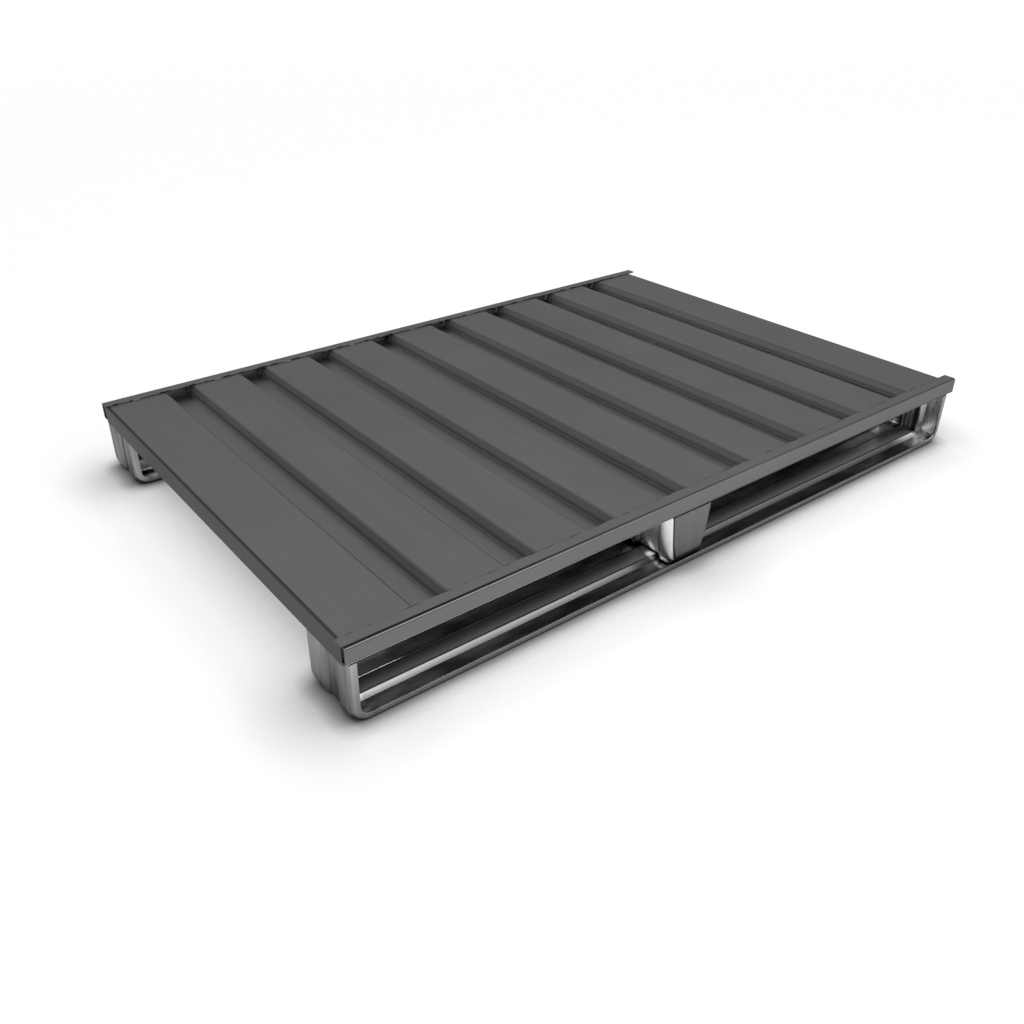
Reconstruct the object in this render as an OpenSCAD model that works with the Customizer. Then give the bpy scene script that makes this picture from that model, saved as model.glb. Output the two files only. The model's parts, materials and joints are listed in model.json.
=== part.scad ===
/* [Overall size] */
// Length of the edge rails, which is the pallet's length
pallet_length = 1200; // [960:1:1500]
// Width over the faces of the two edge rails
pallet_width = 800; // [600:1:1000]
// Height of the rails' top above the floor
pallet_height = 115; // [95:1:150]
// Thickness of the steel sheet
sheet = 2; // [1.5:0.1:2.5]

/* [Deck sheet] */
// How far the rails stand past the deck at the left end
left_overhang = 1; // [0:1:20]
// How far the rails stand past the deck at the right end
right_overhang = 12; // [0:1:20]
// Number of grooves pressed across the deck
groove_count = 8; // [6:1:9]
// Width of a groove at the deck's surface
groove_width = 50; // [36:1:60]
// Depth of a groove
groove_depth = 16; // [10:1:18]
// Run of a groove's sloping wall
groove_wall_run = 6; // [4:1:9]
// Width of the flat before the first groove
first_flat = 100; // [70:1:120]
// Width of the flat after the last groove
last_flat = 95; // [70:1:120]
// Mid-line radius of the bends in the deck
deck_bend = 4; // [3:0.5:5]
// Height of the flanges folded down at the short ends
end_flange = 30; // [20:1:40]
// Gap between the deck's long edge and the inside of a rail's face
deck_edge_gap = 3; // [2:0.5:6]

/* [Edge rails] */
// Width of a rail's top, which lies on the deck
rail_top = 20; // [15:1:25]
// Height of a rail's face
rail_face = 27; // [22:1:32]
// Width of a rail's lower return
rail_return = 10; // [7:1:13]
// Mid-line radius of a rail's folds
rail_bend = 3; // [2:0.5:4]

/* [Runners and legs] */
// Width of a runner, measured across the pallet
runner_width = 102; // [85:1:120]
// Height of the flange along each side of a runner
runner_flange = 10.5; // [8:0.5:11]
// Width of the strip that rests on the floor beside each flange
sole_width = 31; // [28:1:34]
// Height of the ridge pressed up between the two strips
ridge_rise = 6; // [4:1:9]
// Run of each slope of the ridge
ridge_slope = 7; // [6:1:9]
// Mid-line radius of the bends in a runner
runner_bend = 3; // [2:0.5:4]
// Outer radius where a runner's edges turn up into a leg
corner_radius = 24; // [20:1:30]
// Outer radius where the strips and the ridge between the edges turn up
strip_radius = 15; // [10:1:18]
// Distance from a runner's edge over which the one radius passes into the other
corner_blend = 16; // [9:1:20]

/* [Mid feet] */
// How far the mid feet stand to the right of the groove above them
foot_shift = 19; // [0:1:30]
// Width of a mid foot under the rail
foot_width = 79; // [64:1:100]
// How much narrower a foot is on each side at the floor
foot_taper = 10; // [6:1:14]
// Radius of a foot's lower front edge
foot_round = 18; // [17:0.5:19]
// Radius of its lower side edges
foot_side = 9; // [9:0.5:14]
// Radius of a foot's upright edges
foot_edge = 4; // [3:0.5:6]
// Height at which the upright edges begin to open into the lower corners
foot_knee = 42; // [36:1:60]
// Width of the flat bands beside the recess in a foot's side walls
foot_band = 24; // [20:1:26]

/* [Welds] */
// Leg length of the tack welds along the rails
weld_leg = 2; // [1.5:0.1:2]
// Length of one tack weld
weld_length = 12; // [6:1:30]

/* [Hidden] */
$fn = 32;
// Flat steps that make up one rounded bend
bend_steps = 6;
// How far a cutting shape runs past the face it cuts
past = 1;
// Gap left where two pieces pass each other without a weld
clearance = 0.5;
// Thickness of the slices that a foot's form is stretched between
slice = 0.01;

// Where the deck lies, from its two ends to its long edges
deck_top = pallet_height - sheet;
deck_under = deck_top - sheet;
deck_left = -pallet_length / 2 + left_overhang;
deck_right = pallet_length / 2 - right_overhang;
deck_half_width = pallet_width / 2 - sheet - deck_edge_gap;
groove_under = deck_under - groove_depth;
groove_pitch = (deck_right - deck_left - first_flat - last_flat - groove_width) / (groove_count - 1);

// Where the rails end below, and on the inside of their lower returns
rail_under = pallet_height - rail_face;
return_edge = pallet_width / 2 - rail_return;

// Where the legs stand: against the deck's end flanges, below the bends above them
leg_left = deck_left + sheet;
leg_right = deck_right - sheet;
leg_top = deck_under - deck_bend + sheet / 2;

// Where the mid feet stand, how far the slopes of their recess turn, and the radius of their
// lower side edges, which is always large enough for the recess to follow them
foot_groove = floor(groove_count / 2) - 1;
foot_centre = groove_centre(foot_groove) + foot_shift;
slope_angle = atan(ridge_rise / ridge_slope);
foot_turn = max(foot_side, sheet + ridge_rise + clearance);

// A folded sheet follows a path along the middle of its thickness
function unit(v) = v / norm(v);
function turned(v) = [-v.y, v.x];
function turn_at(a, b, c) = let (u = unit(b - a), v = unit(c - b)) atan2(u.x * v.y - u.y * v.x, u * v);

// The points round one bend, on the line that runs a given distance to the left of the path
function bend_points(a, b, c, radius, side) = let (
    u = unit(b - a),
    turn = turn_at(a, b, c),
    way = sign(turn),
    centre = b - radius * tan(abs(turn) / 2) * u + way * radius * turned(u)
) [
    for (k = [0 : bend_steps])
        let (w = turn * k / bend_steps)
        centre + (way * radius - side) * (sin(w) * u - cos(w) * turned(u))
];

function sheet_face(path, radius, side) = let (last = len(path) - 1) [
    path[0] + side * turned(unit(path[1] - path[0])),
    for (i = [1 : last - 1])
        each bend_points(path[i - 1], path[i], path[i + 1], radius, side),
    path[last] + side * turned(unit(path[last] - path[last - 1]))
];

function reversed(list) = [for (i = [len(list) - 1 : -1 : 0]) list[i]];

module folded(path, radius) {
    polygon(concat(
        sheet_face(path, radius, sheet / 2),
        reversed(sheet_face(path, radius, -sheet / 2))
    ));
}

// Deck: one sheet, folded along the length and pushed across the width
function groove_centre(i) = deck_left + first_flat + groove_width / 2 + i * groove_pitch;

function groove_path(x, z) = [
    [x - groove_width / 2, z],
    [x - groove_width / 2 + groove_wall_run, z - groove_depth],
    [x + groove_width / 2 - groove_wall_run, z - groove_depth],
    [x + groove_width / 2, z]
];

function deck_path() = let (half = sheet / 2, z = deck_top - half) [
    [deck_left + half, deck_top - end_flange],
    [deck_left + half, z],
    for (i = [0 : groove_count - 1])
        each groove_path(groove_centre(i), z),
    [deck_right - half, z],
    [deck_right - half, deck_top - end_flange]
];

// Clears the end flanges and their bends away from the rails' lower returns
module deck_corner_notch() {
    notch = sheet + deck_bend;
    translate([-past, return_edge - clearance, 0])
        cube([notch + past, pallet_width, pallet_height]);
}

module deck_sheet() {
    color("dimgray")
        difference() {
            rotate([90, 0, 0])
                linear_extrude(2 * deck_half_width, center = true)
                    folded(deck_path(), deck_bend);
            for (far = [0, 1])
                mirror([0, far, 0]) {
                    translate([deck_left, 0, 0])
                        deck_corner_notch();
                    translate([deck_right, 0, 0])
                        mirror([1, 0, 0])
                            deck_corner_notch();
                }
        }
}

// Rails: one folded section along the whole length
function rail_path() = let (half = sheet / 2, y = pallet_width / 2 - half) [
    [pallet_width / 2 - rail_top, pallet_height - half],
    [y, pallet_height - half],
    [y, rail_under + half],
    [return_edge, rail_under + half]
];

module rail() {
    color("gray")
        rotate([90, 0, 90])
            linear_extrude(pallet_length, center = true)
                folded(rail_path(), rail_bend);
}

module front_rail() {
    mirror([0, 1, 0])
        rail();
}

module rear_rail() {
    rail();
}

// Runners: a section with a flange along each side and a ridge between two soles,
// drawn from its outer edge across (x) and from its outer face inwards (y)
function runner_path() = let (half = sheet / 2, ridge = half + ridge_rise) [
    [half, runner_flange],
    [half, half],
    [sole_width, half],
    [sole_width + ridge_slope, ridge],
    [runner_width - sole_width - ridge_slope, ridge],
    [runner_width - sole_width, half],
    [runner_width - half, half],
    [runner_width - half, runner_flange]
];

module runner_section() {
    folded(runner_path(), runner_bend);
}

module runner_bottom() {
    translate([leg_left + corner_radius, pallet_width / 2, 0])
        rotate([90, 0, 90])
            mirror([1, 0])
                linear_extrude(leg_right - leg_left - 2 * corner_radius)
                    runner_section();
}

// The space on the inner side of the section's outer face, or of its inner face when set in
module section_space(inset, reach) {
    face = sheet_face(runner_path(), runner_bend, inset - sheet / 2);
    polygon(concat(face, [[face[len(face) - 1].x, reach], [face[0].x, reach]]));
}

// How a strip turns from the floor into the leg
module strip_turn(inset, reach) {
    run = strip_radius - inset;
    polygon([
        for (k = [0 : bend_steps])
            let (w = 90 * k / bend_steps)
            [strip_radius - run * cos(w), strip_radius - run * sin(w)],
        [reach, inset],
        [reach, reach],
        [inset, reach]
    ]);
}

// The ball shape of a corner's edges: its radius grows from the bend at the runner's edge
// until it touches the turned strip
function ball_curve(inset) = let (
    edge = corner_radius - runner_bend - sheet / 2,
    full = sqrt(2) * corner_radius - (sqrt(2) - 1) * strip_radius - inset
) [
    for (k = [0 : bend_steps])
        let (w = 90 * k / bend_steps)
        [edge + (full - edge) * sin(w), inset + (corner_blend - inset) * (1 - cos(w))]
];

module ball(inset) {
    curve = ball_curve(inset);
    rotate_extrude()
        polygon(concat(
            [[0, inset]],
            curve,
            [for (p = reversed(curve)) [p.x, runner_width - p.y]],
            [[0, runner_width - inset]]
        ));
}

// A corner as a block from one face of the sheet inwards: the section runs on along the floor
// and up the leg, and the strip's turn and the ball shape round it off
module corner_form(inset, reach) {
    intersection() {
        rotate([90, 0, 90])
            linear_extrude(reach)
                section_space(inset, reach);
        mirror([1, -1, 0])
            linear_extrude(reach)
                section_space(inset, reach);
        translate([0, runner_width, 0])
            rotate([90, 0, 0])
                linear_extrude(runner_width)
                    strip_turn(inset, reach);
        translate([corner_radius, 0, corner_radius])
            rotate([-90, 0, 0])
                ball(inset);
    }
}

module runner_corner() {
    translate([leg_left, pallet_width / 2, 0])
        mirror([0, 1, 0])
            difference() {
                corner_form(0, corner_radius);
                corner_form(sheet, corner_radius + past);
                translate([corner_radius, -past, corner_radius])
                    rotate([-90, 0, 0])
                        cylinder(r = corner_radius - runner_flange, h = runner_width + 2 * past);
            }
}

// A leg stands inside the rail's lower return and is cut back to stay under the rail's face
module runner_leg() {
    difference() {
        translate([leg_left, pallet_width / 2, corner_radius])
            linear_extrude(leg_top - corner_radius)
                rotate(-90)
                    runner_section();
        translate([leg_left - past, return_edge - clearance, rail_under])
            cube([runner_flange + 2 * past, pallet_width, pallet_height]);
    }
}

module runner() {
    color("darkgray") {
        runner_bottom();
        for (end = [0, 1])
            translate([end * (leg_left + leg_right), 0, 0])
                mirror([end, 0, 0]) {
                    runner_corner();
                    runner_leg();
                }
    }
}

module front_runner() {
    mirror([0, 1, 0])
        runner();
}

module rear_runner() {
    runner();
}

// Mid feet: a pressed cup, open above, with a recess down each side wall and across the
// underside that clears the runner's ridge. Each form is the outer one set in by an inset.
function foot_half(z) = foot_width / 2 - foot_taper * (rail_under - z) / rail_under;
function foot_top(inset) = groove_under + inset;

// A slice across the foot at one distance from the rail's face, in the recess or beside it
module foot_slice(inset, recess, place) {
    low = sheet + foot_turn;
    depth = inset + recess;
    translate([0, -place, 0])
        for (way = [-1, 1]) {
            translate([way * (foot_half(low) - foot_turn), 0, low])
                rotate([90, 0, 0])
                    cylinder(r = foot_turn - depth, h = slice, center = true);
            translate([way * (foot_half(groove_under) - depth - slice), 0, foot_top(inset) - slice])
                cube(2 * slice, center = true);
        }
}

// The rounded outer edges of the foot, from the lower corners to the rim
module foot_outer_edges(inset) {
    low = sheet + foot_round;
    for (way = [-1, 1]) {
        translate([way * (foot_half(low) - foot_turn), -foot_round, low])
            scale([(foot_turn - inset) / (foot_round - inset), 1, 1])
                sphere(r = foot_round - inset);
        for (z = [foot_knee, foot_top(inset) - slice])
            translate([way * (foot_half(z) - foot_edge), -foot_edge, z])
                cylinder(r = foot_edge - inset, h = slice);
    }
}

module foot_rim(inset) {
    shift = inset * tan(slope_angle / 2);
    hull() {
        foot_outer_edges(inset);
        foot_slice(inset, 0, foot_band - shift);
        foot_slice(inset, ridge_rise, foot_band + ridge_slope - shift);
    }
}

module foot_form(inset) {
    for (inner = [0, 1])
        translate([0, -inner * runner_width, 0])
            mirror([0, inner, 0])
                foot_rim(inset);
    hull()
        for (place = [foot_band + ridge_slope, runner_width - foot_band - ridge_slope])
            foot_slice(inset, ridge_rise, place);
}

module mid_foot() {
    color("silver")
        translate([foot_centre, pallet_width / 2, 0])
            difference() {
                foot_form(0);
                foot_form(sheet);
                translate([-foot_width, -rail_return - clearance, rail_under])
                    cube([2 * foot_width, pallet_width, pallet_height]);
            }
}

module front_mid_foot() {
    mirror([0, 1, 0])
        mid_foot();
}

module rear_mid_foot() {
    mid_foot();
}

// Tack welds: one on each flat of the deck, in the corner against the rail's edge
function flat_start(i) = i == 0 ? deck_left : groove_centre(i - 1) + groove_width / 2;
function flat_end(i) = i == groove_count ? deck_right : groove_centre(i) - groove_width / 2;

module rail_welds() {
    color("lightgray")
        for (i = [0 : groove_count])
            translate([(flat_start(i) + flat_end(i)) / 2, pallet_width / 2 - rail_top, deck_top])
                rotate([90, 0, 90])
                    linear_extrude(weld_length, center = true)
                        intersection() {
                            circle(r = weld_leg);
                            translate([-weld_leg, 0])
                                square(weld_leg);
                        }
}

module front_rail_welds() {
    mirror([0, 1, 0])
        rail_welds();
}

module rear_rail_welds() {
    rail_welds();
}

deck_sheet();
front_rail();
rear_rail();
front_runner();
rear_runner();
front_mid_foot();
rear_mid_foot();
front_rail_welds();
rear_rail_welds();
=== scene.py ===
"""Looks of the steel pallet: its finishes and the studio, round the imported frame."""

import json
import logging
import math
from dataclasses import dataclass
from enum import Enum

import bmesh
import bpy
from bpy.types import Material, Node, NodeSocket, NodeTree, Object, World
from mathutils import Matrix, Vector


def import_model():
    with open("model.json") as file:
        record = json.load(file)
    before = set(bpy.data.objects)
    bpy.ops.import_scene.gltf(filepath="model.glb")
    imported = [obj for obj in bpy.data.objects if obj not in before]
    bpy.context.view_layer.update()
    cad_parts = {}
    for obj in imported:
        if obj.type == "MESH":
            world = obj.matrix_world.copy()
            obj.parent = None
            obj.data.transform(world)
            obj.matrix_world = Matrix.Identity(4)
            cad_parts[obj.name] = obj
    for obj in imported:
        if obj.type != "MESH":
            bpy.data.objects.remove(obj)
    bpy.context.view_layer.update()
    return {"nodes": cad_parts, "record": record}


LOG = logging.getLogger("pallet")
MM = 0.001
FLOAT = "NodeSocketFloat"
VECTOR = "NodeSocketVector"
# Nearly all of a noise texture's values lie between these two
NOISE_RANGE = (0.25, 0.75)
# A part of a normal lies between these two
NORMAL_RANGE = (-1.0, 1.0)
# How gently a mask by place sets in, in metres
SOFT_EDGE = 0.5 * MM
# Share of the rolling lines that is fine, the rest being broad
FINE_SHARE = 0.55
# Noise at which a scratch sets in and is in full
SCRATCH_CUT = (0.76, 0.82)
# Distance from a cell's middle at which a speck sets in and is in full
SPECK_CUT = (0.16, 0.08)
# Openness of a corner at which the painted corner shade sets in and is in full
SHADE_CUT = (0.9, 0.35)


class Slot(Enum):
    """The record's material slots."""

    DECK = "deck_steel"
    RAIL = "rail_steel"
    RUNNER = "runner_steel"
    FOOT = "foot_steel"
    WELD = "weld_metal"


class Grain(Enum):
    """The way that the rolling lines of a sheet run."""

    ACROSS = (260.0, 2.5, 260.0)
    ALONG = (2.5, 260.0, 260.0)
    UPRIGHT = (180.0, 180.0, 5.0)


class Graph:
    """Adds nodes to one node tree and links them."""

    def __init__(self, tree: NodeTree) -> None:
        """Keeps the tree that the nodes go into.

        Args:
            tree: A material's, world's or group's node tree.
        """
        self.tree = tree

    def add(self, kind: str, **values: object) -> Node:
        """Adds one node.

        Args:
            kind: The node's type, such as ShaderNodeMath.
            **values: Properties of the node.

        Returns:
            The new node.
        """
        made = self.tree.nodes.new(kind)
        for name, value in values.items():
            setattr(made, name, value)
        return made

    def feed(self, socket: NodeSocket, value: object) -> None:
        """Links an output socket to an input, or sets a plain value on it.

        Args:
            socket: The input socket.
            value: An output socket, a number or a colour.
        """
        if isinstance(value, NodeSocket):
            self.tree.links.new(value, socket)
        else:
            socket.default_value = value

    def math(self, operation: str, first: object, second: object = 0.0) -> NodeSocket:
        """Returns the result of a Math node.

        Args:
            operation: The Math node's operation.
            first: The first value or socket.
            second: The second value or socket.
        """
        made = self.add("ShaderNodeMath", operation=operation)
        self.feed(made.inputs[0], first)
        self.feed(made.inputs[1], second)
        return made.outputs[0]

    def vector(
        self,
        operation: str,
        first: object,
        second: object = (0.0, 0.0, 0.0),
        output: str = "Vector",
    ) -> NodeSocket:
        """Returns the result of a Vector Math node.

        Args:
            operation: The node's operation.
            first: The first vector or socket.
            second: The second vector or socket.
            output: Vector, or Value for a dot product or a distance.
        """
        made = self.add("ShaderNodeVectorMath", operation=operation)
        self.feed(made.inputs[0], first)
        self.feed(made.inputs[1], second)
        return made.outputs[output]

    def noise(self, vector: object, scale: float, detail: float = 2.0) -> NodeSocket:
        """Returns the value of a noise texture, from 0 to 1.

        Args:
            vector: The place that the noise is read at.
            scale: How fine the noise is, per metre.
            detail: How many octaves it has.
        """
        made = self.add("ShaderNodeTexNoise")
        self.feed(made.inputs["Vector"], vector)
        self.feed(made.inputs["Scale"], scale)
        self.feed(made.inputs["Detail"], detail)
        return made.outputs["Fac"]

    def spread(
        self,
        value: object,
        low: object,
        high: object,
        to_low: object = 0.0,
        to_high: object = 1.0,
    ) -> NodeSocket:
        """Returns a value moved from one range to another, held at its ends.

        Args:
            value: The value or socket.
            low: The value that becomes to_low.
            high: The value that becomes to_high.
            to_low: The result at low.
            to_high: The result at high.
        """
        made = self.add("ShaderNodeMapRange")
        for name, given in (
            ("Value", value),
            ("From Min", low),
            ("From Max", high),
            ("To Min", to_low),
            ("To Max", to_high),
        ):
            self.feed(made.inputs[name], given)
        return made.outputs["Result"]

    def stops(self, value: object, low: float, high: float, stops: tuple) -> NodeSocket:
        """Returns a value read from a ramp of grey stops.

        Args:
            value: The value or socket.
            low: The value at the ramp's start.
            high: The value at its end.
            stops: Pairs of a value and the level there, in order.
        """
        made = self.add("ShaderNodeValToRGB")
        ramp = made.color_ramp
        while len(ramp.elements) < len(stops):
            ramp.elements.new(0.5)
        for element, (place, level) in zip(ramp.elements, stops):
            element.position = (place - low) / (high - low)
            element.color = (level, level, level, 1.0)
        self.feed(made.inputs["Fac"], self.spread(value, low, high))
        return made.outputs["Color"]

    def part(self, vector: object, axis: str) -> NodeSocket:
        """Returns one axis of a vector.

        Args:
            vector: The vector socket.
            axis: X, Y or Z.
        """
        made = self.add("ShaderNodeSeparateXYZ")
        self.feed(made.inputs[0], vector)
        return made.outputs[axis]

    def span(self, vector: object, axis: str) -> NodeSocket:
        """Returns one axis of a vector without its sign.

        Args:
            vector: The vector socket.
            axis: X, Y or Z.
        """
        return self.math("ABSOLUTE", self.part(vector, axis))

    def grey(self, level: object) -> NodeSocket:
        """Returns a level as a colour.

        Args:
            level: The value or socket.
        """
        made = self.add("ShaderNodeCombineColor")
        for channel in ("Red", "Green", "Blue"):
            self.feed(made.inputs[channel], level)
        return made.outputs[0]

    def group(self, tree: NodeTree, **inputs: object) -> Node:
        """Places a node group.

        Args:
            tree: The group's tree.
            **inputs: Values or sockets, by input name.

        Returns:
            The group node.
        """
        made = self.add("ShaderNodeGroup")
        made.node_tree = tree
        for name, value in inputs.items():
            self.feed(made.inputs[name], value)
        return made


class GroupMaker:
    """Starts a shader node group with named sockets."""

    def __init__(self, name: str, inputs: dict[str, str], outputs: dict[str, str]) -> None:
        """Makes the tree and its sockets.

        Args:
            name: The group's name.
            inputs: Socket types by input name.
            outputs: Socket types by output name.
        """
        self.tree = bpy.data.node_groups.new(name, "ShaderNodeTree")
        for way, sockets in (("INPUT", inputs), ("OUTPUT", outputs)):
            for label, kind in sockets.items():
                self.tree.interface.new_socket(label, in_out=way, socket_type=kind)
        self.graph = Graph(self.tree)
        self.entry = self.graph.add("NodeGroupInput")
        self.exit = self.graph.add("NodeGroupOutput")

    def given(self, name: str) -> NodeSocket:
        """Returns an input's value inside the group.

        Args:
            name: The input's name.
        """
        return self.entry.outputs[name]

    def give(self, name: str, value: object) -> None:
        """Sets what the group puts out.

        Args:
            name: The output's name.
            value: A value or socket of the group.
        """
        self.graph.feed(self.exit.inputs[name], value)


class SteelEffects:
    """The effects that all the steel finishes share, each a node group built once."""

    def __init__(self) -> None:
        """Builds every group."""
        self.rolling = self.build_rolling()
        self.clouds = self.build_clouds()
        self.scratches = self.build_scratches()
        self.specks = self.build_specks()
        self.edges = self.build_edges()
        self.corner_shade = self.build_corner_shade()

    @staticmethod
    def build_rolling() -> NodeTree:
        """Returns the fine lines that rolling leaves along a sheet."""
        maker = GroupMaker("rolling lines", {"Position": VECTOR, "Stretch": VECTOR}, {"Lines": FLOAT})
        graph = maker.graph
        place = graph.vector("MULTIPLY", maker.given("Position"), maker.given("Stretch"))
        fine = graph.math("MULTIPLY", graph.noise(place, 4.0, 3.0), FINE_SHARE)
        broad = graph.math("MULTIPLY", graph.noise(place, 0.35), 1.0 - FINE_SHARE)
        maker.give("Lines", graph.math("ADD", fine, broad))
        return maker.tree

    @staticmethod
    def build_clouds() -> NodeTree:
        """Returns the broad cloudy change of tone that handled sheet has."""
        maker = GroupMaker("cloudy tone", {"Position": VECTOR, "Scale": FLOAT}, {"Clouds": FLOAT})
        maker.give("Clouds", maker.graph.noise(maker.given("Position"), maker.given("Scale"), 4.0))
        return maker.tree

    @staticmethod
    def build_scratches() -> NodeTree:
        """Returns sparse short scratches that run in two directions."""
        maker = GroupMaker("scratches", {"Position": VECTOR}, {"Scratches": FLOAT})
        graph = maker.graph
        total = 0.0
        for turn, stretch in ((0.5, (420.0, 30.0, 30.0)), (2.1, (30.0, 300.0, 30.0))):
            turned = graph.add("ShaderNodeVectorRotate", rotation_type="Z_AXIS")
            graph.feed(turned.inputs["Vector"], maker.given("Position"))
            graph.feed(turned.inputs["Angle"], turn)
            lines = graph.noise(graph.vector("MULTIPLY", turned.outputs[0], stretch), 1.0, 1.0)
            total = graph.math("MAXIMUM", total, graph.spread(lines, *SCRATCH_CUT))
        maker.give("Scratches", total)
        return maker.tree

    @staticmethod
    def build_specks() -> NodeTree:
        """Returns small dark spots, one in a share of the cells."""
        inputs = {"Position": VECTOR, "Scale": FLOAT, "Share": FLOAT}
        maker = GroupMaker("specks", inputs, {"Specks": FLOAT})
        graph = maker.graph
        cells = graph.add("ShaderNodeTexVoronoi", feature="F1")
        graph.feed(cells.inputs["Vector"], maker.given("Position"))
        graph.feed(cells.inputs["Scale"], maker.given("Scale"))
        chosen = graph.math("LESS_THAN", graph.part(cells.outputs["Color"], "X"), maker.given("Share"))
        spot = graph.spread(cells.outputs["Distance"], *SPECK_CUT)
        maker.give("Specks", graph.math("MULTIPLY", spot, chosen))
        return maker.tree

    @staticmethod
    def build_edges() -> NodeTree:
        """Returns the normal rounded over the sheet's cut edges."""
        maker = GroupMaker("rounded edges", {"Radius": FLOAT}, {"Normal": VECTOR})
        rounded = maker.graph.add("ShaderNodeBevel", samples=4)
        maker.graph.feed(rounded.inputs["Radius"], maker.given("Radius"))
        maker.give("Normal", rounded.outputs["Normal"])
        return maker.tree

    @staticmethod
    def build_corner_shade() -> NodeTree:
        """Returns the painted shade in inner corners and narrow gaps."""
        maker = GroupMaker("painted corner shade", {"Reach": FLOAT}, {"Painted shade": FLOAT})
        graph = maker.graph
        hidden = graph.add("ShaderNodeAmbientOcclusion", samples=6)
        graph.feed(hidden.inputs["Distance"], maker.given("Reach"))
        maker.give("Painted shade", graph.spread(hidden.outputs["AO"], *SHADE_CUT))
        return maker.tree


@dataclass(frozen=True)
class SteelFinish:
    """One finish of steel sheet.

    Attributes:
        slot: The record's slot that it dresses.
        tone: Reflectance of the steel.
        roughness: How dull it is.
        grain: The way that the rolling lines run.
        line_depth: How strongly the rolling lines change the tone.
        cloud_depth: How strongly the clouds change the tone.
        cloud_scale: How fine the clouds are, per metre.
        scratches: How much lighter the scratches are.
        speck_scale: How fine the specks are, per metre.
        speck_share: Share of the speck cells that hold a speck.
        edge_radius: Width of the rounded cut edges, in metres.
        shade_reach: How far the painted corner shade reaches out of a corner, in metres.
        shade_depth: How much darker the painted corner shade makes the tone.
        speck_depth: How much darker the specks are.
        rough_change: How much the clouds take from the dullness and add to it.
        scratch_rough: How much duller the scratches are.
        bump: Height of the surface's unevenness.
        bump_strength: How strongly that height turns the shading.
        bump_distance: How high its full height is, in metres.
        line_height: Height of the rolling lines, for each part of bump.
        dent_height: Height of the small dents, for each part of bump.
        dent_scale: How fine the dents are, per metre.
        gloss: Strength of the clear reflection where the surface isn't bare metal.
        graze: How much of the bright grazing reflection the surface keeps.
    """

    slot: Slot
    tone: float = 0.15
    roughness: float = 0.35
    grain: Grain = Grain.ACROSS
    line_depth: float = 0.07
    cloud_depth: float = 0.06
    cloud_scale: float = 7.0
    scratches: float = 0.05
    speck_scale: float = 60.0
    speck_share: float = 0.0
    edge_radius: float = 0.7 * MM
    shade_reach: float = 8.0 * MM
    shade_depth: float = 0.5
    speck_depth: float = 0.75
    rough_change: tuple[float, float] = (-0.05, 0.07)
    scratch_rough: float = 0.1
    bump: float = 0.02
    bump_strength: float = 0.35
    bump_distance: float = 0.4 * MM
    line_height: float = 8.0
    dent_height: float = 20.0
    dent_scale: float = 60.0
    gloss: float = 0.2
    graze: float = 0.5

    def tone_of(self, graph: Graph, place: NodeSocket, normal: NodeSocket) -> object:
        """Returns the reflectance before wear, specks and painted corner shade, which is even on this
        finish.

        Args:
            graph: The material's graph; not used here.
            place: The Object coordinates; not used here.
            normal: The normal in the object's own axes; not used here.
        """
        return self.tone

    def metal_of(self, graph: Graph, place: NodeSocket, normal: NodeSocket) -> object:
        """Returns how far the surface reflects as bare metal, which is all over on this finish.

        Args:
            graph: The material's graph; not used here.
            place: The Object coordinates; not used here.
            normal: The normal in the object's own axes; not used here.
        """
        return 1.0

    def lean_of(self, graph: Graph, place: NodeSocket, normal: NodeSocket) -> object:
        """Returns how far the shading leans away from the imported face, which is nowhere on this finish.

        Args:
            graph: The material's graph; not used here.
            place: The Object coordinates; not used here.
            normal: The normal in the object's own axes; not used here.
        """
        return (0.0, 0.0, 0.0)

    @staticmethod
    def lean_outwards(
        graph: Graph,
        place: NodeSocket,
        mask: NodeSocket,
        slope: float,
    ) -> NodeSocket:
        """Returns a lean of the shading away from the pallet's long middle line.

        Args:
            graph: The material's graph.
            place: The Object coordinates.
            mask: Where the shading leans, from 0 to 1.
            slope: How far it leans there.
        """
        outward = graph.math("MULTIPLY", graph.math("SIGN", graph.part(place, "Y")), slope)
        lean = graph.add("ShaderNodeCombineXYZ")
        graph.feed(lean.inputs["Y"], graph.math("MULTIPLY", mask, outward))
        return lean.outputs[0]

    def build(self, effects: SteelEffects) -> Material:
        """Makes the material.

        Args:
            effects: The shared node groups.

        Returns:
            The new material.
        """
        made = bpy.data.materials.new(self.slot.value)
        made.use_nodes = True
        graph = Graph(made.node_tree)
        shader = made.node_tree.nodes["Principled BSDF"]
        coordinates = graph.add("ShaderNodeTexCoord")
        place = coordinates.outputs["Object"]
        lines = graph.group(effects.rolling, Position=place, Stretch=self.grain.value).outputs[0]
        clouds = graph.group(effects.clouds, Position=place, Scale=self.cloud_scale).outputs[0]
        scratches = graph.group(effects.scratches, Position=place).outputs[0]
        specks = graph.group(
            effects.specks, Position=place, Scale=self.speck_scale, Share=self.speck_share
        ).outputs[0]
        rounded = graph.group(effects.edges, Radius=self.edge_radius).outputs[0]
        corner_shade = graph.group(effects.corner_shade, Reach=self.shade_reach).outputs[0]

        change = graph.spread(lines, *NOISE_RANGE, -self.line_depth, self.line_depth)
        for mask, gain in (
            (graph.spread(clouds, *NOISE_RANGE, -1.0, 1.0), self.cloud_depth),
            (scratches, self.scratches),
            (specks, -self.speck_depth),
        ):
            change = graph.math("ADD", change, graph.math("MULTIPLY", mask, gain))
        # Painted shade darkens the tone in inner corners and gaps.
        unshaded = graph.spread(corner_shade, 0.0, 1.0, 1.0, 1.0 - self.shade_depth)
        level = graph.math("MULTIPLY", graph.math("ADD", change, 1.0), unshaded)
        facing = coordinates.outputs["Normal"]
        tone = self.tone_of(graph, place, facing)
        graph.feed(shader.inputs["Base Color"], graph.grey(graph.math("MULTIPLY", tone, level)))

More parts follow.
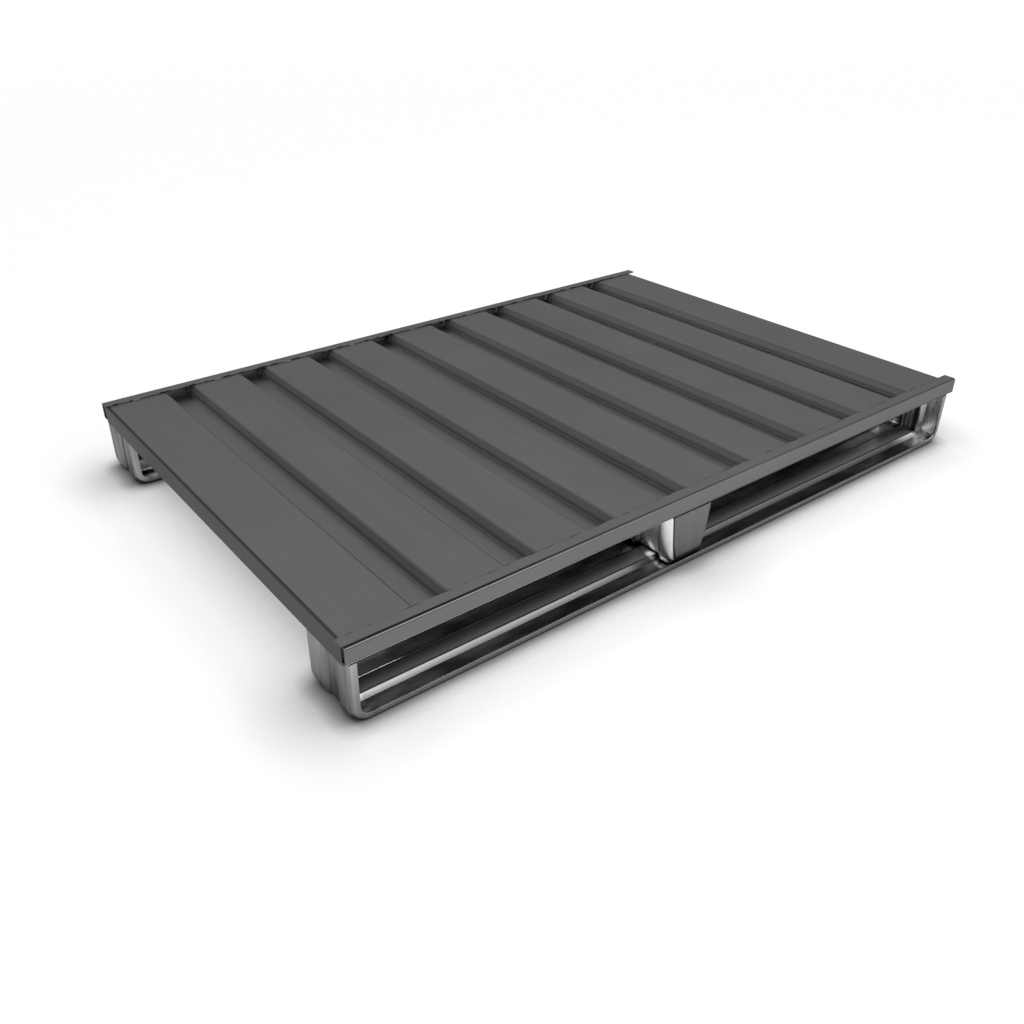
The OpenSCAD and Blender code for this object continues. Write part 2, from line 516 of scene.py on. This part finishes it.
        smooth, dull = (self.roughness + step for step in self.rough_change)
        rough = graph.spread(clouds, *NOISE_RANGE, smooth, dull)
        rough = graph.math("ADD", rough, graph.math("MULTIPLY", scratches, self.scratch_rough))
        graph.feed(shader.inputs["Roughness"], rough)
        graph.feed(shader.inputs["Metallic"], self.metal_of(graph, place, facing))
        shader.inputs["Specular IOR Level"].default_value = self.gloss
        shader.inputs["Specular Tint"].default_value = (self.graze, self.graze, self.graze, 1.0)

        bump = graph.add("ShaderNodeBump")
        bump.inputs["Strength"].default_value = self.bump_strength
        bump.inputs["Distance"].default_value = self.bump_distance
        dents = graph.math("MULTIPLY", graph.noise(place, self.dent_scale), self.bump * self.dent_height)
        height = graph.math("ADD", graph.math("MULTIPLY", lines, self.bump * self.line_height), dents)
        graph.feed(bump.inputs["Height"], height)
        leaning = graph.vector("ADD", rounded, self.lean_of(graph, place, facing))
        graph.feed(bump.inputs["Normal"], graph.vector("NORMALIZE", leaning))
        graph.feed(shader.inputs["Normal"], bump.outputs["Normal"])
        return made


@dataclass(frozen=True)
class DeckFinish(SteelFinish):
    """The deck: even on its flats, matt and banded with painted shading on the drawn walls of its
    grooves, with a painted dark reflection on its end folds.

    Attributes:
        heights: Pairs of a height on a groove's wall, in metres, and the reflectance there, painting the
            walls' shading as bands.
        height_range: The heights that those pairs are spread between.
        steep: How far a face points sideways where a wall begins and where it is in full.
        crest_turn: How far a face points right where the painted shade line along the left crest is in
            full.
        crest_tone: Reflectance of the thin painted shade line along a groove's left crest.
        wall_metal: How far a groove's wall still reflects as bare metal.
        ends: Distance of the end flanges from the pallet's middle.
        end_folds: Pairs of how far a face of the end folds points sideways and its reflectance, a painted
            dark reflection across the bend.
    """

    heights: tuple = ((0.097, 0.09), (0.1, 0.13), (0.104, 0.21), (0.108, 0.2), (0.111, 0.13))
    height_range: tuple[float, float] = (0.095, 0.115)
    steep: tuple[float, float] = (0.03, 0.35)
    crest_turn: float = 0.2
    crest_tone: float = 0.05
    wall_metal: float = 0.15
    ends: float = 0.58
    end_folds: tuple = ((0.0, 0.138), (0.15, 0.05), (0.6, 0.05), (0.95, 0.125))

    def wall(self, graph: Graph, place: NodeSocket, normal: NodeSocket) -> object:
        """Returns 1 on the grooves' walls and 0 on the flats and the end flanges.

        Args:
            graph: The material's graph.
            place: The Object coordinates.
            normal: The normal in the object's own axes.
        """
        steep = graph.spread(graph.span(normal, "X"), *self.steep)
        return graph.math("MULTIPLY", steep, graph.math("LESS_THAN", graph.span(place, "X"), self.ends))

    def tone_of(self, graph: Graph, place: NodeSocket, normal: NodeSocket) -> object:
        """Returns the reflectance by the steepness and the height of the face, with the painted shading
        of the walls, crest lines and end folds.

        Args:
            graph: The material's graph.
            place: The Object coordinates.
            normal: The normal in the object's own axes.
        """
        # Painted shading: bands by height on the grooves' walls.
        streaks_and_wall_shade = graph.stops(graph.part(place, "Z"), *self.height_range, self.heights)
        # A thin painted shade line along each groove's left crest.
        right = graph.spread(graph.part(normal, "X"), 0.0, self.crest_turn)
        streaks_and_wall_shade = graph.spread(right, 0.0, 1.0, streaks_and_wall_shade, self.crest_tone)
        top = graph.spread(self.wall(graph, place, normal), 0.0, 1.0, self.tone, streaks_and_wall_shade)
        # A painted dark reflection across the end folds.
        folded = graph.stops(graph.span(normal, "X"), 0.0, 1.0, self.end_folds)
        at_end = graph.math("GREATER_THAN", graph.span(place, "X"), self.ends)
        return graph.spread(at_end, 0.0, 1.0, top, folded)

    def metal_of(self, graph: Graph, place: NodeSocket, normal: NodeSocket) -> object:
        """Returns less of a mirror on the grooves' walls.

        Args:
            graph: The material's graph.
            place: The Object coordinates.
            normal: The normal in the object's own axes.
        """
        return graph.spread(self.wall(graph, place, normal), 0.0, 1.0, 1.0, self.wall_metal)


@dataclass(frozen=True)
class RailFinish(SteelFinish):
    """The rails: their folds carry painted dark lines and highlights that stand in for reflections, and a
    painted shadow runs along the inner seam.

    Attributes:
        left_folds: Pairs of how far a face points up and its reflectance, with painted dark lines and
            highlights, at the left end.
        right_folds: The same at the right end, where the painted lines have all but faded.
        fade: Where the painted lines begin and end to fade, along the pallet.
        seam: Distance of the inner edge of a rail's top, where a broken painted shadow runs, from the
            pallet's middle.
        seam_scale: How fine the breaks in that painted shadow are along the pallet, per metre.
        seam_cut: Noise at which that painted shadow sets in and is in full.
        seam_depth: How much darker the painted shadow is.
    """

    left_folds: tuple = (
        (-1.0, 0.95),
        (-0.25, 0.95),
        (-0.2, 0.03),
        (-0.03, 0.03),
        (-0.01, 0.185),
        (0.01, 0.185),
        (0.1, 0.07),
        (0.25, 0.1),
        (0.38, 0.27),
        (0.55, 0.27),
        (0.64, 0.012),
        (0.99, 0.012),
        (0.996, 0.14),
    )
    right_folds: tuple = (
        (-1.0, 0.2),
        (-0.25, 0.2),
        (-0.2, 0.06),
        (-0.03, 0.06),
        (-0.01, 0.185),
        (0.01, 0.185),
        (0.55, 0.16),
        (0.64, 0.08),
        (0.99, 0.08),
        (0.996, 0.14),
    )
    fade: tuple[float, float] = (-0.4, 0.1)
    seam: float = 0.3812
    seam_scale: float = 45.0
    seam_cut: tuple[float, float] = (0.48, 0.56)
    seam_depth: float = 0.7

    def tone_of(self, graph: Graph, place: NodeSocket, normal: NodeSocket) -> object:
        """Returns the reflectance by how far the face points up, with the painted fold lines and the
        painted seam shadow.

        Args:
            graph: The material's graph.
            place: The Object coordinates.
            normal: The normal in the object's own axes.
        """
        # Painted dark lines and highlights on the folds, by how far the face points up.
        up = graph.part(normal, "Z")
        left, right = (
            graph.stops(up, *NORMAL_RANGE, folds) for folds in (self.left_folds, self.right_folds)
        )
        folded = graph.spread(graph.part(place, "X"), *self.fade, left, right)
        # A broken painted shadow along the inner edge of the rail's top.
        along = graph.noise(graph.vector("MULTIPLY", place, (self.seam_scale, 0.0, 0.0)), 1.0, 3.0)
        broken = graph.spread(along, *self.seam_cut, 0.0, self.seam_depth)
        seam_shadow = graph.math("MULTIPLY", graph.math("LESS_THAN", graph.span(place, "Y"), self.seam), broken)
        return graph.math("MULTIPLY", folded, graph.math("SUBTRACT", 1.0, seam_shadow))


@dataclass(frozen=True)
class RunnerFinish(SteelFinish):
    """The runners: even outside save for painted shade, and banded by place with painted reflections
    inside the channel.

    Attributes:
        half_length: Distance of the legs' outer faces from the pallet's middle.
        corner: Radius of the corners between the floor and the legs.
        middle: Distance of the runner's middle line from the pallet's middle.
        side_share: How much the way across the runner counts in telling its inside from its outside.
        near_sole: Pairs of a place along the runner and the reflectance of the outer floor strip, with
            its painted reflections.
        far_sole: The same for the inner floor strip, with its painted reflections.
        slope: The same for the ridge's slopes, a painted reflection band.
        crest: The same for the ridge's inner crest, a painted highlight.
        along_range: The places along the runner that those pairs are spread between.
        crest_flare: How far that crest's shading leans outwards, as a slope.
        crown: Pairs of a distance from the pallet's middle and the reflectance of the ridge's top, a
            painted reflection.
        crown_range: The distances that those pairs are spread between.
        ridge: Distances from the pallet's middle of the ridge's inner crest and its top's outer edge.
        ridge_height: Height from which the ridge's top and crests begin.
        ridge_band: How far above that height they reach.
        slope_foot: Height at which the slopes' painted reflection is darkest, and its share of the tone
            there.
        tilt: How far a face points sideways where a slope begins and where it is in full.
        metal: How far the faces inside the channel reflect as bare metal.
        crown_metal: The same for the ridge's top.
        under_share: Tone of the faces that turn down, as a share of the outer tone: a painted shade.
        under_turn: How far a face points up where it begins to turn down and where it has in full.
        leg_tone: Reflectance of the legs' outer faces.
        leg_slope_share: Tone of the ridges' slopes on those faces, as a share of the flat tone: a painted
            shade.
        leg_turn: How far a face points along the pallet where a leg begins and where it is in full.
        leg_start: Distances from the pallet's middle between which the legs' streaks begin.
        blotch_size: How fine the blotches on the floor strips are, per metre.
        blotch_cut: Noise at which a blotch sets in and is in full.
        blotch_depth: The least and the most of the tone in a blotch.
        streak_size: How fine the streaks on the legs are, per metre.
        streak_cut: Noise at which a streak is darkest and lightest.
        streak_change: How far the darkest and the lightest streak change the tone.
        streak_depth: How strong those streaks are outside and inside.
        glints: Painted highlights beside the mid foot: place along, distance from the middle, radius.
        glint_tone: Reflectance of those painted highlights.
        glint_core: Share of their radius over which they are in full.
    """

    half_length: tuple[float, float] = (-0.597, 0.586)
    corner: float = 0.024
    middle: float = 0.349
    side_share: float = 0.3
    near_sole: tuple = ((-0.58, 0.2), (-0.35, 0.13), (-0.2, 0.08), (0.52, 0.08), (0.56, 0.95))
    far_sole: tuple = ((-0.58, 0.3), (-0.35, 0.12), (0.1, 0.12), (0.4, 0.06), (0.52, 0.06), (0.56, 0.5))
    slope: tuple = ((-0.58, 0.26), (-0.45, 0.2), (-0.1, 0.13), (0.0, 0.16), (0.5, 0.15), (0.56, 0.95))
    crest: tuple = ((-0.58, 0.6), (-0.5, 0.5), (-0.49, 0.04), (0.5, 0.07), (0.56, 0.4))
    along_range: tuple[float, float] = (-0.6, 0.6)
    crest_flare: float = 0.9
    crown: tuple = ((0.336, 0.035), (0.345, 0.08), (0.357, 0.19), (0.36, 0.23), (0.3618, 0.03))
    crown_range: tuple[float, float] = (0.33, 0.37)
    ridge: tuple[float, float] = (0.3372, 0.3625)
    ridge_height: float = 6.8 * MM
    ridge_band: float = 2.0 * MM
    slope_foot: tuple[float, float] = (3.0 * MM, 0.5)
    tilt: tuple[float, float] = (0.3, 0.6)
    metal: float = 0.75
    crown_metal: float = 0.15
    under_share: float = 0.4
    under_turn: tuple[float, float] = (-0.15, -0.5)
    leg_tone: float = 0.33
    leg_slope_share: float = 0.55
    leg_turn: tuple[float, float] = (0.3, 0.8)
    leg_start: tuple[float, float] = (0.555, 0.575)
    blotch_size: tuple[float, float, float] = (14.0, 40.0, 14.0)
    blotch_cut: tuple[float, float] = (0.35, 0.65)
    blotch_depth: tuple[float, float] = (0.5, 1.7)
    streak_size: tuple[float, float, float] = (50.0, 60.0, 6.0)
    streak_cut: tuple[float, float] = (0.4, 0.65)
    streak_change: tuple[float, float] = (-1.0, 0.8)
    streak_depth: tuple[float, float] = (0.3, 0.9)
    glints: tuple = ((-0.084, 0.359, 0.011), (-0.08, 0.381, 0.016))
    glint_tone: float = 0.9
    glint_core: float = 0.4

    def inside(self, graph: Graph, place: NodeSocket, normal: NodeSocket) -> object:
        """Returns 1 on the faces that look into the channel and 0 on those that look out of it.

        Args:
            graph: The material's graph.
            place: The Object coordinates.
            normal: The normal in the object's own axes.
        """
        left, right = self.half_length
        core = graph.add("ShaderNodeCombineXYZ")
        held = graph.math("MINIMUM", graph.part(place, "X"), right - self.corner)
        graph.feed(core.inputs["X"], graph.math("MAXIMUM", held, left + self.corner))
        side = graph.math("SIGN", graph.part(place, "Y"))
        graph.feed(core.inputs["Y"], graph.math("MULTIPLY", side, self.middle))
        graph.feed(core.inputs["Z"], graph.math("MAXIMUM", graph.part(place, "Z"), self.corner))
        inward = graph.vector("SUBTRACT", core.outputs[0], place)
        inward = graph.vector("MULTIPLY", inward, (1.0, self.side_share, 1.0))
        facing = graph.vector("DOT_PRODUCT", inward, normal, "Value")
        return graph.spread(facing, -SOFT_EDGE, SOFT_EDGE)

    def tone_of(self, graph: Graph, place: NodeSocket, normal: NodeSocket) -> object:
        """Returns the tone outside the channel, with painted shade, and the tone inside it, banded with
        painted reflections.

        Args:
            graph: The material's graph.
            place: The Object coordinates.
            normal: The normal in the object's own axes.
        """
        along = graph.part(place, "X")
        away = graph.span(place, "Y")
        # Painted reflections and highlights inside the channel, by place along the runner.
        near, far, slope, crest = (
            graph.stops(along, *self.along_range, stops)
            for stops in (self.near_sole, self.far_sole, self.slope, self.crest)
        )
        tilted = graph.spread(graph.span(normal, "Y"), *self.tilt)
        outward = graph.math("GREATER_THAN", away, self.middle)
        blotches = graph.noise(graph.vector("MULTIPLY", place, self.blotch_size), 1.0)
        blotches = graph.spread(blotches, *self.blotch_cut, *self.blotch_depth)
        floor_strip = graph.math("MULTIPLY", graph.spread(outward, 0.0, 1.0, far, near), blotches)
        # The slopes' painted reflection darkens towards their foot.
        foot, foot_share = self.slope_foot
        fading = graph.spread(graph.part(place, "Z"), foot, self.ridge_height, foot_share, 1.0)
        inner = graph.spread(tilted, 0.0, 1.0, floor_strip, graph.math("MULTIPLY", slope, fading))
        # A painted reflection across the ridge's top.
        crown = graph.stops(away, *self.crown_range, self.crown)
        inner = graph.spread(self.on_ridge(graph, place), 0.0, 1.0, inner, crown)
        inner = graph.spread(self.on_crest(graph, place), 0.0, 1.0, inner, crest)
        # Painted highlights beside the mid foot.
        inner = graph.math("MAXIMUM", inner, self.glint(graph, place))
        side = graph.spread(graph.span(normal, "X"), *self.leg_turn)
        # Painted shade on the slopes of the legs' outer faces.
        slanted = graph.math("MULTIPLY", side, tilted)
        leg = graph.spread(slanted, 0.0, 1.0, self.leg_tone, self.leg_tone * self.leg_slope_share)
        outer = graph.spread(side, 0.0, 1.0, self.tone, leg)
        # Painted shade on the faces that turn down.
        under = graph.spread(graph.part(normal, "Z"), *self.under_turn, 1.0, self.under_share)
        outer = graph.math("MULTIPLY", outer, under)
        inside = self.inside(graph, place, normal)
        streaks_and_wall_shade = graph.noise(graph.vector("MULTIPLY", place, self.streak_size), 1.0)
        at_leg = graph.spread(graph.span(place, "X"), *self.leg_start)
        depth = graph.math("MULTIPLY", at_leg, graph.spread(inside, 0.0, 1.0, *self.streak_depth))
        streaks = graph.spread(streaks_and_wall_shade, *self.streak_cut, *self.streak_change)
        streaks = graph.math("MULTIPLY", streaks, depth)
        tone = graph.spread(inside, 0.0, 1.0, outer, inner)
        return graph.math("MULTIPLY", tone, graph.math("ADD", streaks, 1.0))

    def metal_of(self, graph: Graph, place: NodeSocket, normal: NodeSocket) -> object:
        """Returns less of a mirror inside the channel, save on the ridge's inner crest and at the glints.

        Args:
            graph: The material's graph.
            place: The Object coordinates.
            normal: The normal in the object's own axes.
        """
        channel = graph.spread(self.on_ridge(graph, place), 0.0, 1.0, self.metal, self.crown_metal)
        mirrors = graph.math("MAXIMUM", self.on_crest(graph, place), self.glint(graph, place))
        channel = graph.math("MAXIMUM", channel, mirrors)
        return graph.spread(self.inside(graph, place, normal), 0.0, 1.0, 1.0, channel)

    def lean_of(self, graph: Graph, place: NodeSocket, normal: NodeSocket) -> object:
        """Returns the outward lean that lets the ridge's inner crest catch the light.

        Args:
            graph: The material's graph.
            place: The Object coordinates.
            normal: The normal in the object's own axes.
        """
        crest = graph.math("MULTIPLY", self.on_crest(graph, place), self.inside(graph, place, normal))
        return self.lean_outwards(graph, place, crest, self.crest_flare)

    def on_crest(self, graph: Graph, place: NodeSocket) -> NodeSocket:
        """Returns 1 on the inner crest of the pressed ridge along the floor.

        Args:
            graph: The material's graph.
            place: The Object coordinates.
        """
        inner = graph.math("LESS_THAN", graph.span(place, "Y"), self.ridge[0])
        return graph.math("MULTIPLY", self.on_ridge(graph, place), inner)

    def on_ridge(self, graph: Graph, place: NodeSocket) -> NodeSocket:
        """Returns 1 on the top and the inner crest of the pressed ridge along the floor.

        Args:
            graph: The material's graph.
            place: The Object coordinates.
        """
        within = graph.spread(graph.span(place, "Y"), self.ridge[1], self.ridge[1] - SOFT_EDGE)
        raised = graph.math("GREATER_THAN", graph.part(place, "Z"), self.ridge_height)
        low = graph.math("LESS_THAN", graph.part(place, "Z"), self.ridge_height + self.ridge_band)
        return graph.math("MULTIPLY", within, graph.math("MULTIPLY", raised, low))

    def glint(self, graph: Graph, place: NodeSocket) -> NodeSocket:
        """Returns how bright the painted highlights beside the mid foot are.

        Args:
            graph: The material's graph.
            place: The Object coordinates.
        """
        folded = graph.vector("MULTIPLY", graph.vector("ABSOLUTE", place), (0.0, 1.0, 0.0))
        flat = graph.vector("ADD", folded, graph.vector("MULTIPLY", place, (1.0, 0.0, 0.0)))
        total = 0.0
        for along, away, radius in self.glints:
            reach = graph.vector("DISTANCE", flat, (along, away, 0.0), "Value")
            highlight = graph.spread(reach, radius, radius * self.glint_core, 0.0, self.glint_tone)
            total = graph.math("MAXIMUM", total, highlight)
        return total


@dataclass(frozen=True)
class FootFinish(SteelFinish):
    """The mid feet: the front like the rails, painted highlights on the drawn side walls, painted shade
    on the faces between and underneath.

    Attributes:
        turns: Pairs of how far a face points sideways and its reflectance, painting highlights on the
            side walls and shade between them.
        under_share: Tone of the rounded underside, as a share of the front's: a painted shade.
        under_turn: How far a face points up where the underside begins and where it is in full.
        front_turn: How far a face points sideways where the front ends and where it is in full.
        low_end: Heights above the floor between which the front comes out of its painted shade.
        wall_turn: How far a face points sideways where a side wall begins and where it is in full.
        flare: How far the side walls' shading opens outwards, as a slope.
    """

    turns: tuple = (
        (-1.0, 0.95),
        (-0.76, 0.9),
        (-0.66, 0.03),
        (-0.35, 0.04),
        (-0.12, 0.18),
        (0.12, 0.18),
        (0.35, 0.04),
        (0.8, 0.06),
        (1.0, 0.3),
    )
    under_share: float = 0.2
    under_turn: tuple[float, float] = (-0.2, -0.5)
    front_turn: tuple[float, float] = (0.5, 0.2)
    low_end: tuple[float, float] = (0.019, 0.024)
    wall_turn: tuple[float, float] = (0.72, 0.88)
    flare: float = 0.75

    def tone_of(self, graph: Graph, place: NodeSocket, normal: NodeSocket) -> object:
        """Returns the reflectance by the way that the face points, with its painted highlights and shade.

        Args:
            graph: The material's graph.
            place: The Object coordinates.
            normal: The normal in the object's own axes.
        """
        # Painted highlights on the side walls and painted shade on the faces between them.
        turned = graph.stops(graph.part(normal, "X"), *NORMAL_RANGE, self.turns)
        # Painted shade on the underside and low on the front.
        under = graph.spread(graph.part(normal, "Z"), *self.under_turn, 1.0, self.under_share)
        front = graph.spread(graph.span(normal, "X"), *self.front_turn)
        low = graph.spread(graph.part(place, "Z"), *self.low_end, self.under_share, 1.0)
        end = graph.spread(front, 0.0, 1.0, 1.0, low)
        return graph.math("MULTIPLY", turned, graph.math("MINIMUM", under, end))

    def lean_of(self, graph: Graph, place: NodeSocket, normal: NodeSocket) -> object:
        """Returns the side walls' outward flare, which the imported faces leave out.

        Args:
            graph: The material's graph.
            place: The Object coordinates.
            normal: The normal in the object's own axes.
        """
        wall = graph.spread(graph.span(normal, "X"), *self.wall_turn)
        return self.lean_outwards(graph, place, wall, self.flare)


class SmoothFolds:
    """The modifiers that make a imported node's folds read as round."""

    def __init__(self, limit: float = math.radians(32.0)) -> None:
        """Builds the node group that smooths below an angle.

        Args:
            limit: The largest angle between two faces that still reads as round.
        """
        self.tree = bpy.data.node_groups.new("smooth folds", "GeometryNodeTree")
        self.tree.interface.new_socket("Geometry", in_out="INPUT", socket_type="NodeSocketGeometry")
        self.tree.interface.new_socket("Geometry", in_out="OUTPUT", socket_type="NodeSocketGeometry")
        graph = Graph(self.tree)
        entry = graph.add("NodeGroupInput")
        leave = graph.add("NodeGroupOutput")
        angle = graph.add("GeometryNodeInputMeshEdgeAngle")
        sharp = graph.add("FunctionNodeCompare", data_type="FLOAT", operation="GREATER_THAN")
        graph.feed(sharp.inputs[0], angle.outputs["Unsigned Angle"])
        graph.feed(sharp.inputs[1], limit)
        faces = graph.add("GeometryNodeSetShadeSmooth", domain="FACE")
        graph.feed(faces.inputs["Geometry"], entry.outputs[0])
        graph.feed(faces.inputs["Shade Smooth"], True)
        edges = graph.add("GeometryNodeSetShadeSmooth", domain="EDGE")
        graph.feed(edges.inputs["Geometry"], faces.outputs[0])
        graph.feed(edges.inputs["Selection"], sharp.outputs[0])
        graph.feed(edges.inputs["Shade Smooth"], False)
        graph.feed(leave.inputs[0], edges.outputs[0])

    def put_on(self, piece: Object) -> None:
        """Adds the modifiers to a piece.

        Args:
            piece: The object that gets them.
        """
        weld = piece.modifiers.new("join corners", "WELD")
        weld.merge_threshold = 0.005 * MM
        smooth = piece.modifiers.new("smooth folds", "NODES")
        smooth.node_group = self.tree
        normals = piece.modifiers.new("flat faces lead", "WEIGHTED_NORMAL")
        normals.mode = "FACE_AREA"
        normals.weight = 50
        normals.keep_sharp = True


@dataclass
class SheetWork:
    """The pallet's folded and pressed sheets, which come from the frame as they are.

    Attributes:
        effects: The shared node groups.
        folds: The modifiers for round folds.
    """

    effects: SteelEffects
    folds: SmoothFolds

    def finishes(self) -> list[SteelFinish]:
        """Returns one finish for each slot."""
        return [
            DeckFinish(Slot.DECK, tone=0.14, roughness=0.4, speck_share=0.0016, shade_depth=0.12),
            RailFinish(Slot.RAIL, roughness=0.36, grain=Grain.ALONG, shade_depth=0.2),
            RunnerFinish(Slot.RUNNER, tone=0.34, roughness=0.26, grain=Grain.ALONG, line_depth=0.12),
            FootFinish(
                Slot.FOOT,
                roughness=0.3,
                grain=Grain.UPRIGHT,
                line_depth=0.12,
                speck_scale=260.0,
                speck_share=0.08,
            ),
            SteelFinish(
                Slot.WELD,
                tone=0.1,
                roughness=0.34,
                line_depth=0.2,
                cloud_depth=0.3,
                cloud_scale=120.0,
                bump=0.05,
            ),
        ]

    def dress(self, nodes: dict[str, Object], slots: dict[str, str]) -> None:
        """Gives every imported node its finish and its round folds.

        Args:
            nodes: The frame's objects by node name.
            slots: The material slot of each node.
        """
        made = {finish.slot: finish.build(self.effects) for finish in self.finishes()}
        for name, piece in nodes.items():
            material = made[Slot(slots[name])]
            for slot in piece.material_slots:
                slot.material = material
            self.folds.put_on(piece)
            LOG.info("dressed %s with %s", name, material.name)


@dataclass
class Studio:
    """The pale floor, the light and the camera.

    Attributes:
        lens: Focal length of the camera, in millimetres on a 36 mm wide frame.
        shift: How far the photograph's centre lies from the lens's axis, as a share of the frame.
        eye: Where the camera is, in metres.
        heading: The camera's turn from +Y towards +X, in degrees.
        dip: How far the camera looks down, in degrees.
        roll: The camera's turn about its own axis, in degrees.
        floor_reach: Half the floor's side, in metres.
        floor_tone: Reflectance of the floor.
        floor_mottle: How much darker its darkest places are.
        floor_share: Share of the floor's light that camera and mirror rays see, beside its glow.
        floor_glow: Light that the floor gives to camera and mirror rays, so that it shows white.
        shades: Reach in metres, depth and direction of each soft shade round the pallet.
        world_level: Strength of the even light that falls on surfaces from all round.
        lamp_place: Where the lamp hangs, in metres.
        lamp_size: The side of the lamp, in metres.
        lamp_power: Its power, in watts.
    """

    lens: float = 33.73
    shift: tuple[float, float] = (0.0275, -0.0097)
    eye: tuple[float, float, float] = (-0.96206, -1.13761, 0.76881)
    heading: float = 36.715
    dip: float = 30.359
    roll: float = -0.385
    floor_reach: float = 30.0
    floor_tone: float = 0.8
    floor_mottle: float = 0.01
    floor_share: float = 0.2
    floor_glow: float = 0.9
    shades: tuple = ((0.03, 2.0, (0.0, 0.0, 1.0)), (0.13, 1.7, (0.6, -0.4, 0.7)))
    world_level: float = 0.4
    lamp_place: tuple[float, float, float] = (0.7, -2.0, 2.2)
    lamp_size: float = 2.2
    lamp_power: float = 46.0

    @staticmethod
    def shown(graph: Graph) -> NodeSocket:
        """Returns 1 for the rays that show the background: straight, mirrored or let through.

        Args:
            graph: The graph of the floor's material or of the world.
        """
        rays = graph.add("ShaderNodeLightPath").outputs
        mirrored = graph.math("MAXIMUM", rays["Is Glossy Ray"], rays["Is Transmission Ray"])
        return graph.math("MAXIMUM", rays["Is Camera Ray"], mirrored)

    def camera(self) -> Object:
        """Makes the camera at the photograph's viewpoint and sets it as the scene's.

        Returns:
            The camera object.
        """
        data = bpy.data.cameras.new("photo camera")
        data.lens = self.lens
        data.sensor_width = 36.0
        data.shift_x, data.shift_y = self.shift
        data.clip_start = 0.01
        data.clip_end = 100.0
        heading, dip, roll = (math.radians(a) for a in (self.heading, self.dip, self.roll))
        ahead = Vector(
            (math.sin(heading) * math.cos(dip), math.cos(heading) * math.cos(dip), -math.sin(dip))
        )
        level = Vector((math.cos(heading), -math.sin(heading), 0.0))
        right = math.cos(roll) * level + math.sin(roll) * level.cross(ahead)
        up = right.cross(ahead)
        made = bpy.data.objects.new("photo camera", data)
        turn = Matrix((right, up, -ahead)).transposed().to_4x4()
        made.matrix_world = Matrix.Translation(self.eye) @ turn
        bpy.context.scene.collection.objects.link(made)
        bpy.context.scene.camera = made
        return made

    def floor(self) -> Object:
        """Makes the pale floor, which shows white save for the soft shades round the pallet.

        Returns:
            The floor object.
        """
        mesh = bpy.data.meshes.new("floor")
        work = bmesh.new()
        bmesh.ops.create_grid(work, x_segments=1, y_segments=1, size=self.floor_reach)
        work.to_mesh(mesh)
        work.free()
        made = bpy.data.objects.new("floor", mesh)
        bpy.context.scene.collection.objects.link(made)
        material = bpy.data.materials.new("pale floor")
        material.use_nodes = True
        graph = Graph(material.node_tree)
        shader = material.node_tree.nodes["Principled BSDF"]
        place = graph.add("ShaderNodeTexCoord").outputs["Object"]
        darkest = self.floor_tone - self.floor_mottle
        mottle = graph.spread(graph.noise(place, 3.0, 3.0), 0.3, 0.7, darkest, self.floor_tone)
        shown = self.shown(graph)
        seen = graph.math("MULTIPLY", mottle, graph.spread(shown, 0.0, 1.0, 1.0, self.floor_share))
        graph.feed(shader.inputs["Base Color"], graph.grey(seen))
        shader.inputs["Roughness"].default_value = 0.9
        shader.inputs["Specular IOR Level"].default_value = 0.1
        glow = self.floor_glow
        for reach, depth, way in self.shades:
            shade = graph.add("ShaderNodeAmbientOcclusion", samples=10)
            shade.inputs["Distance"].default_value = reach
            shade.inputs["Normal"].default_value = Vector(way).normalized()
            glow = graph.math("MULTIPLY", glow, graph.math("POWER", shade.outputs["AO"], depth))
        shader.inputs["Emission Color"].default_value = (1.0, 1.0, 1.0, 1.0)
        graph.feed(shader.inputs["Emission Strength"], graph.math("MULTIPLY", shown, glow))
        mesh.materials.append(material)
        return made

    def world(self) -> World:
        """Makes the even soft light all round, which shows as white to every ray that shows it.

        Returns:
            The world.
        """
        made = bpy.data.worlds.new("studio")
        made.use_nodes = True
        bpy.context.scene.world = made
        graph = Graph(made.node_tree)
        shade = made.node_tree.nodes["Background"]
        shade.inputs["Color"].default_value = (1.0, 1.0, 1.0, 1.0)
        level = graph.spread(self.shown(graph), 0.0, 1.0, self.world_level, 1.0)
        graph.feed(shade.inputs["Strength"], level)
        return made

    def lamp(self) -> Object:
        """Makes the soft square lamp in front, which points at the pallet.

        Returns:
            The lamp object.
        """
        data = bpy.data.lights.new("front soft light", "AREA")
        data.size = self.lamp_size
        data.energy = self.lamp_power
        made = bpy.data.objects.new("front soft light", data)
        made.location = self.lamp_place
        made.rotation_mode = "QUATERNION"
        made.rotation_quaternion = Vector(self.lamp_place).to_track_quat("Z", "Y")
        bpy.context.scene.collection.objects.link(made)
        return made

    def build(self) -> None:
        """Sets up the view, the camera, the floor, the world and the lamp."""
        bpy.context.scene.view_settings.view_transform = "Standard"
        self.camera()
        self.floor()
        self.world()
        self.lamp()
        LOG.info("studio ready")


def main() -> None:
    """Builds the studio and dresses the pallet."""
    logging.basicConfig(level=logging.INFO, format="%(name)s: %(message)s")
    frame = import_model()
    Studio().build()
    slots = {part["node"]: part["material_slot"] for part in frame["record"]["subparts"]}
    SheetWork(SteelEffects(), SmoothFolds()).dress(frame["nodes"], slots)


if __name__ == "__main__":
    main()
